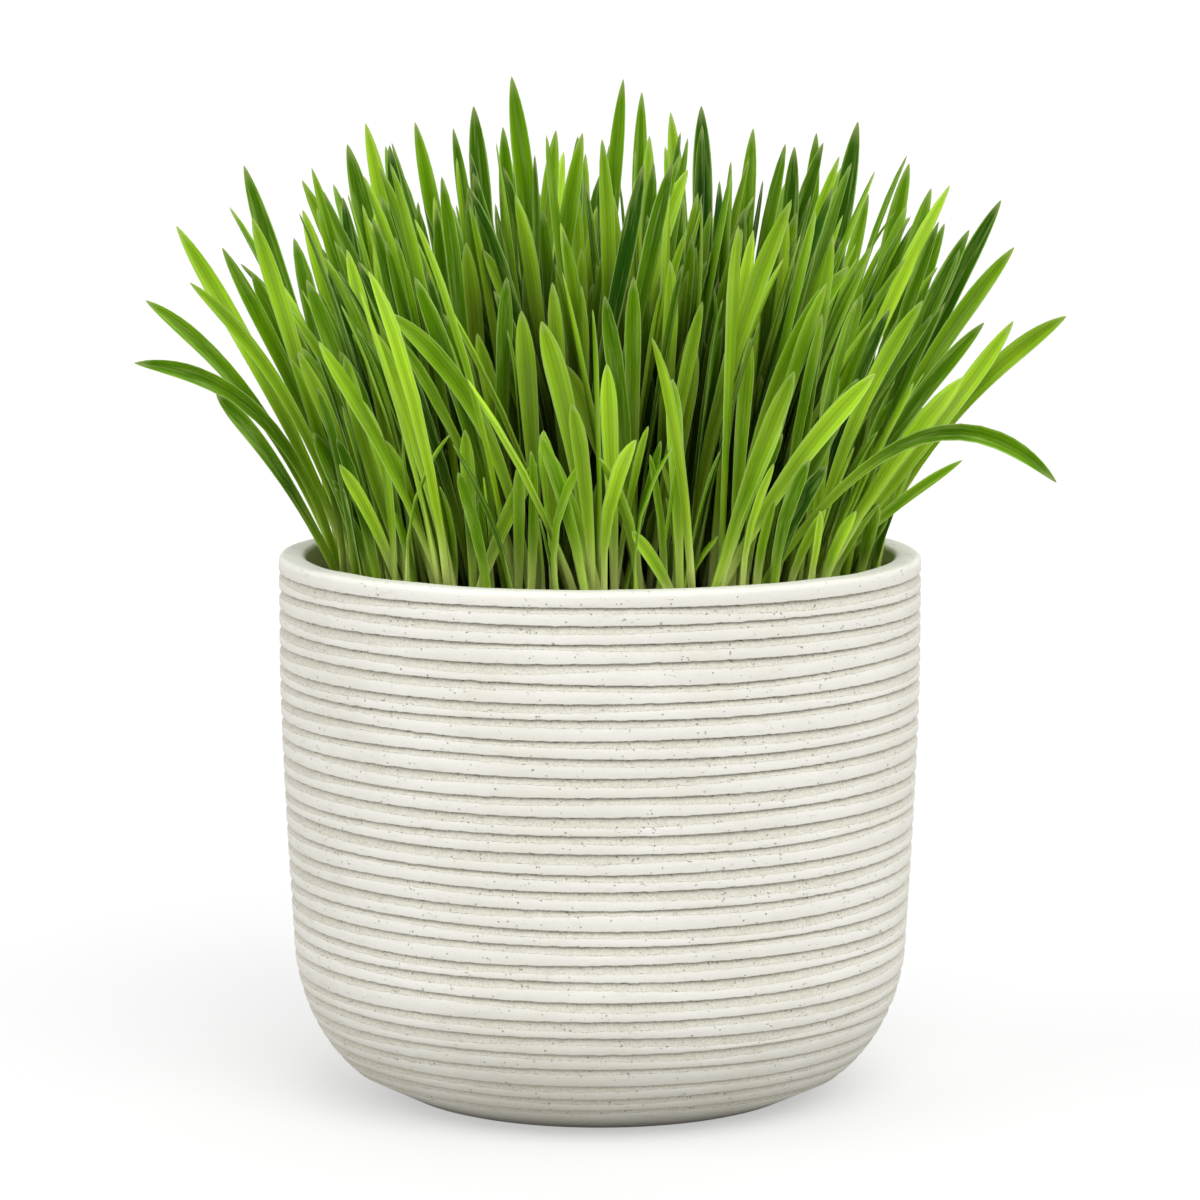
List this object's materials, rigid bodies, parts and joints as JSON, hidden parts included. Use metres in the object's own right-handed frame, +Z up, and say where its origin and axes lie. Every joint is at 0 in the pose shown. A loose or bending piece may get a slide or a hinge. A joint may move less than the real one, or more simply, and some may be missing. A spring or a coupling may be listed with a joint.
{
  "type": "potted cat grass",
  "caption": "Round-bottomed planter with turned horizontal ribs, filled with potting mix and densely sown with upright cat grass.",
  "frame": {"origin": "centre of the planter's flat foot, on the surface it stands on", "axes": "+Z up along the planter's axis, +Y to the back, +X to the right of the side shown in the picture"},
  "size_m": [0.2155, 0.1956, 0.2375],
  "materials": {
    "planter": "matte",
    "potting_mix": "matte",
    "grass": "satin"
  },
  "bodies": {
    "root": {"pot": "planter", "potting_mix": "potting_mix", "clump_01": "grass", "clump_02": "grass", "clump_03": "grass", "clump_04": "grass", "clump_05": "grass", "clump_06": "grass", "clump_07": "grass", "clump_08": "grass", "clump_09": "grass", "clump_10": "grass", "clump_11": "grass", "clump_12": "grass", "clump_13": "grass", "clump_14": "grass", "clump_15": "grass", "clump_16": "grass", "clump_17": "grass", "clump_18": "grass", "clump_19": "grass", "clump_20": "grass", "clump_21": "grass", "clump_22": "grass", "clump_23": "grass", "clump_24": "grass", "clump_25": "grass", "clump_26": "grass", "clump_27": "grass", "clump_28": "grass", "clump_29": "grass", "clump_30": "grass", "clump_31": "grass", "clump_32": "grass", "clump_33": "grass", "clump_34": "grass", "clump_35": "grass", "clump_36": "grass", "clump_37": "grass", "clump_38": "grass", "clump_39": "grass", "clump_40": "grass", "clump_41": "grass", "clump_42": "grass", "clump_43": "grass", "clump_44": "grass", "clump_45": "grass"}
  },
  "joints": []
}
